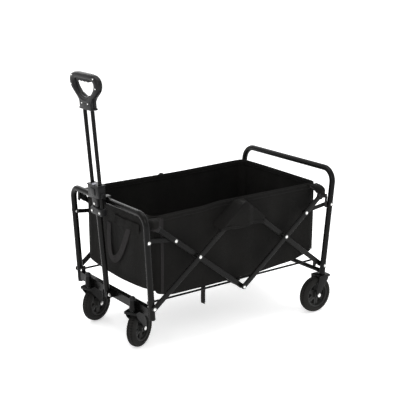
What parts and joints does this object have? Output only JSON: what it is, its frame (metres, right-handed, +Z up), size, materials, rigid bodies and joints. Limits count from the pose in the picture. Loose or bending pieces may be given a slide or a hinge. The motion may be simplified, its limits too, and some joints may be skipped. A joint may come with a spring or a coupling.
{
  "type": "folding camp wagon",
  "caption": "Folding pull wagon: open cloth tub in a scissor-sided tube frame, swivelling front casters, fixed rear wheels, push bar and a telescopic pull handle.",
  "frame": {"origin": "centre of the footprint box, on the ground", "axes": "+X towards the push bar and the fixed wheels, -X towards the pull handle, +Y to the far side, +Z up"},
  "size_m": [0.9978, 0.6064, 1.0344],
  "materials": {
    "frame_coat": "satin powder coat",
    "bar_coat": "satin powder coat",
    "zinc": "bright zinc plate",
    "cap_plastic": "moulded",
    "grip_plastic": "fine texture",
    "insert_rubber": "ribbed",
    "button_plastic": "moulded",
    "rim_plastic": "moulded",
    "tyre_rubber": "moulded tread",
    "cloth": "coated polyester weave",
    "webbing": "woven webbing",
    "board": "stiff board"
  },
  "bodies": {
    "front": {"front_frame": "frame_coat", "front_beam": "frame_coat", "caster_sleeves": "frame_coat", "sleeve_caps": "cap_plastic", "handle_bracket": "frame_coat", "handle_hinge_bolt": "zinc", "front_leg_plugs": "cap_plastic", "front_pivot_bolts": "zinc", "front_link_rivets": "zinc", "front_rail_lugs": "frame_coat"},
    "bars_outer_front": {"bars_outer_front": "bar_coat", "scissor_rivets_front": "zinc"},
    "bars_inner_front": {"bars_inner_front": "bar_coat", "floor_cross_tube": "bar_coat", "front_corner_caps": "cap_plastic"},
    "bars_inner_rear": {"bars_inner_rear": "bar_coat", "scissor_rivets_rear": "zinc"},
    "bars_outer_rear": {"bars_outer_rear": "bar_coat", "rear_corner_caps": "cap_plastic"},
    "front_links": {"front_links": "bar_coat"},
    "rear_links": {"rear_links": "bar_coat"},
    "front_rails": {"front_rails": "bar_coat"},
    "rear_rails": {"rear_rails": "bar_coat"},
    "rear": {"rear_frame": "frame_coat", "rear_crossbar": "frame_coat", "rear_leg_rivets": "zinc", "rear_rail_lugs": "frame_coat", "rear_forks": "frame_coat", "rear_axles": "zinc"},
    "rear_wheel_near": {"rear_rim_near": "rim_plastic", "rear_tyre_near": "tyre_rubber"},
    "rear_wheel_far": {"rear_rim_far": "rim_plastic", "rear_tyre_far": "tyre_rubber"},
    "caster_near": {"caster_fork_near": "frame_coat", "caster_stem_near": "zinc", "caster_axle_near": "zinc"},
    "caster_far": {"caster_fork_far": "frame_coat", "caster_stem_far": "zinc", "caster_axle_far": "zinc"},
    "caster_wheel_near": {"caster_rim_near": "rim_plastic", "caster_tyre_near": "tyre_rubber"},
    "caster_wheel_far": {"caster_rim_far": "rim_plastic", "caster_tyre_far": "tyre_rubber"},
    "handle": {"handle_post": "frame_coat", "handle_collar": "grip_plastic", "collar_bolts": "zinc"},
    "slider": {"sliding_rods": "frame_coat", "slider_block": "grip_plastic", "slider_bolts": "zinc", "grip_front_shell": "grip_plastic", "grip_rear_shell": "grip_plastic", "grip_insert": "insert_rubber", "grip_screws": "zinc"},
    "button": {"release_button": "button_plastic"},
    "tub": {"tub_cloth": "cloth", "floor_boards": "board", "apex_pockets": "cloth", "corner_tabs": "webbing", "front_loop": "webbing", "closing_strap": "webbing"}
  },
  "joints": [
    {"name": "fold", "type": "hinge", "parent": "front", "child": "bars_outer_front", "pos_m": [-0.38508, 0, 0.196], "axis": [0, -1, 0], "range_deg": [0, 37], "deforming": ["tub_cloth", "floor_boards", "apex_pockets", "corner_tabs", "front_loop", "closing_strap"]},
    {"name": "front_cross", "type": "hinge", "parent": "bars_outer_front", "child": "bars_inner_front", "pos_m": [-0.17992, 0, 0.35571], "axis": [0, -1, 0], "range_deg": [-74, 0]},
    {"name": "apex", "type": "hinge", "parent": "bars_outer_front", "child": "bars_inner_rear", "pos_m": [0.03077, 0, 0.51973], "axis": [0, -1, 0], "range_deg": [-74, 0]},
    {"name": "rear_cross", "type": "hinge", "parent": "bars_inner_rear", "child": "bars_outer_rear", "pos_m": [0.24146, 0, 0.35571], "axis": [0, -1, 0], "range_deg": [0, 74]},
    {"name": "rear_leg_pivot", "type": "hinge", "parent": "bars_inner_rear", "child": "rear", "pos_m": [0.44662, 0, 0.196], "axis": [0, -1, 0], "range_deg": [0, 37]},
    {"name": "front_link_pivot", "type": "hinge", "parent": "front", "child": "front_links", "pos_m": [-0.39915, 0, 0.44761], "axis": [0, -1, 0], "range_deg": [0, 74.82]},
    {"name": "rear_link_pivot", "type": "hinge", "parent": "rear", "child": "rear_links", "pos_m": [0.47269, 0, 0.45268], "axis": [0, -1, 0], "range_deg": [-71.06, 0]},
    {"name": "front_rail_pivot", "type": "hinge", "parent": "front", "child": "front_rails", "pos_m": [-0.38008, 0, 0.206], "axis": [0, -1, 0], "range_deg": [0, 70.72]},
    {"name": "rear_rail_pivot", "type": "hinge", "parent": "rear", "child": "rear_rails", "pos_m": [0.44387, 0, 0.206], "axis": [0, -1, 0], "range_deg": [-70.72, 0]},
    {"name": "tub_lift", "type": "slide", "parent": "front", "child": "tub", "axis": [0, 0, 1], "range_m": [0, 0.18509]},
    {"name": "handle_tilt", "type": "hinge", "parent": "front", "child": "handle", "pos_m": [-0.41508, 0, 0.178], "axis": [0, -1, 0], "range_deg": [0, 78]},
    {"name": "handle_slide", "type": "slide", "parent": "handle", "child": "slider", "axis": [-0.0802, 0, 0.9968], "range_m": [-0.258, 0]},
    {"name": "release_push", "type": "slide", "parent": "handle", "child": "button", "axis": [0.9968, 0, 0.0802], "range_m": [0, 0.0035], "stiffness_N_per_m": 800},
    {"name": "caster_swivel_near", "type": "hinge", "parent": "front", "child": "caster_near", "pos_m": [-0.40458, -0.163, 0.154], "axis": [0, 0, 1], "continuous": true},
    {"name": "caster_spin_near", "type": "hinge", "parent": "caster_near", "child": "caster_wheel_near", "pos_m": [-0.3627, -0.14166, 0.075], "axis": [-0.454, 0.891, 0], "continuous": true},
    {"name": "rear_spin_near", "type": "hinge", "parent": "rear", "child": "rear_wheel_near", "pos_m": [0.41379, -0.2732, 0.075], "axis": [0, 1, 0], "continuous": true},
    {"name": "caster_swivel_far", "type": "hinge", "parent": "front", "child": "caster_far", "pos_m": [-0.40458, 0.163, 0.154], "axis": [0, 0, 1], "continuous": true},
    {"name": "caster_spin_far", "type": "hinge", "parent": "caster_far", "child": "caster_wheel_far", "pos_m": [-0.36041, 0.17908, 0.075], "axis": [-0.342, 0.9397, 0], "continuous": true},
    {"name": "rear_spin_far", "type": "hinge", "parent": "rear", "child": "rear_wheel_far", "pos_m": [0.41379, 0.2732, 0.075], "axis": [0, 1, 0], "continuous": true}
  ],
  "couplings": [
    {"joint": "front_cross", "follows": "fold", "ratio": -2},
    {"joint": "apex", "follows": "fold", "ratio": -2},
    {"joint": "rear_cross", "follows": "fold", "ratio": 2},
    {"joint": "rear_leg_pivot", "follows": "fold", "ratio": 1},
    {"joint": "front_link_pivot", "follows": "fold", "ratio": 2.0221},
    {"joint": "rear_link_pivot", "follows": "fold", "ratio": -1.9206},
    {"joint": "front_rail_pivot", "follows": "fold", "ratio": 1.9114},
    {"joint": "rear_rail_pivot", "follows": "fold", "ratio": -1.9114},
    {"joint": "tub_lift", "follows": "fold", "m_per_rad": 0.2866}
  ]
}
